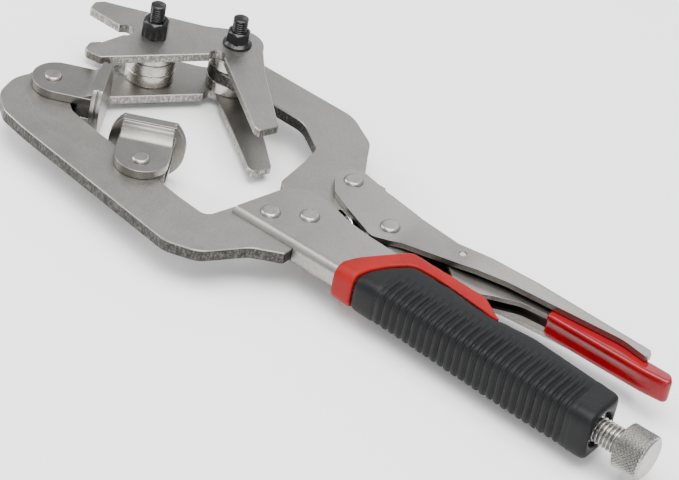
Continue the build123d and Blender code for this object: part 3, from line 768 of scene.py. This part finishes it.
class PLIERS_OT_screw(bpy.types.Operator):
    """Adjusting screw with its cut thread, and the diamond-knurled knob."""

    bl_idname = "pliers.screw"
    bl_label = "Screw and knob"

    def execute(self, context):
        sizes = context.scene.pliers_fasteners
        zinc = turned_steel("bright_zinc", (0.36, 0.35, 0.33), 0.3)
        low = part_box("adjusting_screw")[0]
        knob_low, knob_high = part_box("knurled_knob")
        along = Matrix.Translation((0, SCREW_LINE.y, SCREW_LINE.z)) @ Matrix.Rotation(pi / 2, 4, "Y")
        cut_from = MAIN.x + 0.1094
        rings = [(0.0019, low[0]), (0.002, low[0] + 0.0001), (0.002, low[0] + 0.0026),
                 (0.0036, low[0] + 0.0027), (0.0039, low[0] + 0.0031), (0.0039, cut_from - 0.0008)]
        rings += thread_rings(0.0048, 0.00095, sizes.screw_pitch, cut_from, knob_low[0] - 0.0003, 14)
        rings += [(0.0034, knob_low[0]), (0.0034, knob_low[0] + 0.001)]
        piece("cut_thread_screw", turned(rings, along, 48), zinc, BODY_OF["adjusting_screw"],
              SLOT_OF["adjusting_screw"], "adjusting_screw")
        radius = (knob_high[1] - knob_low[1]) / 2
        count = sizes.knurl_count
        band_from, band_to = knob_low[0] + 0.0006, knob_high[0] - 0.0007

        def diamonds(turn, height):
            lead = (height - band_from) * count / (2 * radius)
            one = abs(((turn * count / (2 * pi) + lead / 2.6) % 1.0) * 2 - 1)
            two = abs(((turn * count / (2 * pi) - lead / 2.6) % 1.0) * 2 - 1)
            return radius - 0.0008 * max(one, two) ** 2

        rings = [
            (0.0030, knob_low[0]), (radius - 0.0012, knob_low[0]),
            (radius - 0.0007, knob_low[0] + 0.0004),
        ]
        steps = 56
        rings += [(diamonds, band_from + (band_to - band_from) * i / steps) for i in range(steps + 1)]
        end = knob_high[0]
        rings += [
            (radius - 0.0007, band_to + 0.0002), (radius - 0.0009, end - 0.0003),
            (radius - 0.0012, end), (0.0012, end),
        ]
        piece("diamond_knob", turned(rings, along, 352), zinc, BODY_OF["knurled_knob"],
              SLOT_OF["knurled_knob"], "knurled_knob")
        return {"FINISHED"}


class PLIERS_OT_spring(bpy.types.Operator):
    """Close-wound tension spring with its two loops."""

    bl_idname = "pliers.spring"
    bl_label = "Spring"

    def execute(self, context):
        wire = turned_steel("spring_wire", (0.55, 0.55, 0.54), 0.25)
        tree = wound_tree()
        front = MAIN + Vector((0.0065, 0.0125, 0))
        anchor = MAIN + Vector((0.048, -0.009, 0))
        line = (anchor - front).normalized()
        side = Vector((-line.y, line.x, 0))
        place = Matrix((
            (side.x, 0, line.x, front.x), (side.y, 0, line.y, front.y), (0, 1, 0, front.z), (0, 0, 0, 1)))
        coil_length, coil_from = 0.0292, 0.0097
        coil = grown(tree, bpy.data.meshes.new("seed"), Turns=32.0, Coil_radius=0.0019,
                     Length=coil_length, Wire_radius=0.00045, Material=wire)
        coil.transform(place @ Matrix.Translation((0, 0, coil_from)))
        parts = [coil]
        hoops = ((0.004, 0.004, pi / 2), (0.0446, 0.0026, 0.0))
        for centre, radius, tip in hoops:
            hoop = grown(tree, bpy.data.meshes.new("seed"), Turns=1.0, Coil_radius=radius,
                         Length=0.0, Wire_radius=0.0005, Material=wire)
            stand = Matrix.Rotation(pi / 2, 4, "Y") if tip else Matrix.Rotation(pi / 2, 4, "X")
            hoop.transform(place @ Matrix.Translation((0, 0, centre)) @ stand)
            parts.append(hoop)
        for start, end in ((0.0079, coil_from + 0.0004), (coil_from + coil_length - 0.0004, 0.0421)):
            parts.append(turned([(0.0005, start), (0.0005, end)], place, 16))
        piece("wound_spring", joined(*parts), wire, BODY_OF["tension_spring"],
              SLOT_OF["tension_spring"], "tension_spring")
        return {"FINISHED"}


class PLIERS_OT_grip(bpy.types.Operator):
    """Ribbed rubber grip with its smooth red front band."""

    bl_idname = "pliers.grip"
    bl_label = "Grip"

    def execute(self, context):
        sizes = context.scene.pliers_grip
        rubber = moulded_rubber("grip_rubber", sizes.rubber_color, 0.46, 0.06)
        red = moulded_rubber("band_rubber", sizes.band_color, 0.44, 0.02)
        body = soft_copy(["grip_body"], 0.00045, 95)
        count = len(body.vertices)
        points = np.empty(count * 3)
        normals = np.empty(count * 3)
        body.vertices.foreach_get("co", points)
        body.vertices.foreach_get("normal", normals)
        points, normals = points.reshape(-1, 3), normals.reshape(-1, 3)
        x = points[:, 0] - MAIN.x
        y = points[:, 1] - MAIN.y
        height = np.clip((-0.0055 - y) / 0.005, 0, 1)
        first, last = 0.0425, 0.128
        ends = np.clip((x - first) / 0.004, 0, 1) * np.clip((last - x) / 0.004, 0, 1)
        outside = np.abs(points[:, 2] - MAIN.z) > 0.0055
        outside |= y < -0.0185
        wave = 0.5 - 0.5 * np.cos(2 * pi * (x - first) / sizes.rib_pitch)
        push = -sizes.rib_depth * wave ** 2.2 * height * ends * outside
        body.vertices.foreach_set("co", (points + normals * push[:, None]).ravel())
        body.update()
        piece("ribbed_grip", body, rubber, BODY_OF["grip_body"], SLOT_OF["grip_body"], "grip_body")
        band = soft_copy(["grip_band"], 0.0004, 40)
        piece("front_band", band, red, BODY_OF["grip_band"], SLOT_OF["grip_band"], "grip_band")
        return {"FINISHED"}


class PLIERS_OT_sleeve(bpy.types.Operator):
    """Glossy red vinyl dipped over the release lever's tail."""

    bl_idname = "pliers.sleeve"
    bl_label = "Sleeve"

    def execute(self, context):
        vinyl = dipped_vinyl("dipped_vinyl", context.scene.pliers_grip.sleeve_color)
        mesh = soft_copy(["release_sleeve"], 0.00032, 26)
        count = len(mesh.vertices)
        points = np.empty(count * 3)
        mesh.vertices.foreach_get("co", points)
        points = points.reshape(-1, 3)
        low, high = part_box("release_sleeve")
        along = (points[:, 0] - low[0]) / (high[0] - low[0])
        slices, depth, half_width = 60, 0.0006, 0.0026
        reach, blend = 0.0036, 0.0014
        cell = np.clip((along * slices).astype(int), 0, slices - 1)
        edge = np.array([
            points[cell == i, 1].min() if (cell == i).any() else low[1] for i in range(slices)])
        edge = np.interp(along * slices - 0.5, np.arange(slices), edge)
        near = np.clip((reach - (points[:, 1] - edge)) / blend, 0, 1)
        across = np.clip(1 - ((points[:, 2] - MAIN.z) / half_width) ** 2, 0, 1) ** 1.4
        ends = np.clip((0.9 - along) / 0.3, 0, 1)
        points[:, 1] += depth * near * across * ends
        mesh.vertices.foreach_set("co", points.ravel())
        mesh.update()
        piece("dipped_sleeve", mesh, vinyl, BODY_OF["release_sleeve"], SLOT_OF["release_sleeve"],
              "release_sleeve")
        return {"FINISHED"}


class PLIERS_OT_stage(bpy.types.Operator):
    """Plain pale floor, soft studio light and the camera."""

    bl_idname = "pliers.stage"
    bl_label = "Stage"

    def execute(self, context):
        look = context.scene.pliers_stage
        floor = bpy.data.meshes.new("floor")
        wide = 3.0
        floor.from_pydata([(-wide, -wide, 0), (wide, -wide, 0), (wide, wide, 0), (-wide, wide, 0)], [],
                          [(0, 1, 2, 3)])
        floor.materials.append(pale_floor("pale_floor", look.floor_color))
        ground = bpy.data.objects.new("floor", floor)
        context.scene.collection.objects.link(ground)

        world = bpy.data.worlds.new("studio")
        world.use_nodes = True
        world.node_tree.nodes["Background"].inputs["Color"].default_value = (0.94, 0.96, 1.0, 1)
        world.node_tree.nodes["Background"].inputs["Strength"].default_value = 0.95
        context.scene.world = world

        target = Vector((0.00209, -0.00747, MAIN.z))
        turn = Matrix.Rotation(look.heading, 3, "Z")
        ahead = turn @ Vector((0, cos(look.elevation), -sin(look.elevation)))
        level = turn @ Vector((1, 0, 0))
        upward = level.cross(ahead)
        right = cos(look.roll) * level + sin(look.roll) * upward
        above = -sin(look.roll) * level + cos(look.roll) * upward
        lens = bpy.data.cameras.new("camera")
        lens.lens = look.lens
        lens.sensor_width = 36.0
        lens.clip_start = 0.05
        camera = bpy.data.objects.new("camera", lens)
        spot = target - ahead * look.distance
        camera.matrix_world = Matrix((
            (right.x, above.x, -ahead.x, spot.x), (right.y, above.y, -ahead.y, spot.y),
            (right.z, above.z, -ahead.z, spot.z), (0, 0, 0, 1)))
        context.scene.collection.objects.link(camera)
        context.scene.camera = camera

        lamps = (
            ("overhead", (0.1, -0.1, 1.2), 1.1, 34.0, (1.0, 0.99, 0.97)),
            ("left", (-0.9, -0.3, 0.6), 0.5, 7.0, (1.0, 1.0, 1.0)),
            ("back", (-0.3, 1.1, 0.8), 0.6, 2.5, (0.97, 0.98, 1.0)),
            ("front", (0.6, -1.0, 0.45), 0.6, 5.0, (1.0, 0.99, 0.98)),
        )
        for name, place, size, power, color in lamps:
            lamp = bpy.data.lights.new(name, "AREA")
            lamp.shape = "SQUARE"
            lamp.size = size
            lamp.energy = power
            lamp.color = color
            thing = bpy.data.objects.new(name, lamp)
            thing.location = place
            thing.rotation_euler = (-Vector(place)).to_track_quat("-Z", "Y").to_euler()
            context.scene.collection.objects.link(thing)
        return {"FINISHED"}


STEPS = (
    PLIERS_OT_plates, PLIERS_OT_pad_bends, PLIERS_OT_turned, PLIERS_OT_rivets,
    PLIERS_OT_fasteners, PLIERS_OT_screw, PLIERS_OT_spring, PLIERS_OT_grip,
    PLIERS_OT_sleeve, PLIERS_OT_stage,
)
SETTINGS = {
    "pliers_steel": PliersSteel, "pliers_grip": PliersGrip,
    "pliers_fasteners": PliersFasteners, "pliers_stage": PliersStage,
}


class PLIERS_PT_sidebar(bpy.types.Panel):
    """Lists the settings and the steps."""

    bl_idname = "PLIERS_PT_sidebar"
    bl_label = "Pliers"
    bl_space_type = "VIEW_3D"
    bl_region_type = "UI"
    bl_category = "Pliers"

    def draw(self, context):
        for name, group in SETTINGS.items():
            settings = getattr(context.scene, name)
            for key in group.__annotations__:
                self.layout.prop(settings, key)
        for step in STEPS:
            self.layout.operator(step.bl_idname)


def register():
    for group in SETTINGS.values():
        bpy.utils.register_class(group)
    for step in STEPS:
        bpy.utils.register_class(step)
    bpy.utils.register_class(PLIERS_PT_sidebar)
    for name, group in SETTINGS.items():
        setattr(bpy.types.Scene, name, bpy.props.PointerProperty(type=group))


def unregister():
    for name in SETTINGS:
        delattr(bpy.types.Scene, name)
    bpy.utils.unregister_class(PLIERS_PT_sidebar)
    for step in reversed(STEPS):
        bpy.utils.unregister_class(step)
    for group in SETTINGS.values():
        bpy.utils.unregister_class(group)


def main():
    """Registers the add-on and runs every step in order."""
    register()
    for step in STEPS:
        group, name = step.bl_idname.split(".")
        getattr(getattr(bpy.ops, group), name)()


if __name__ == "__main__":
    main()
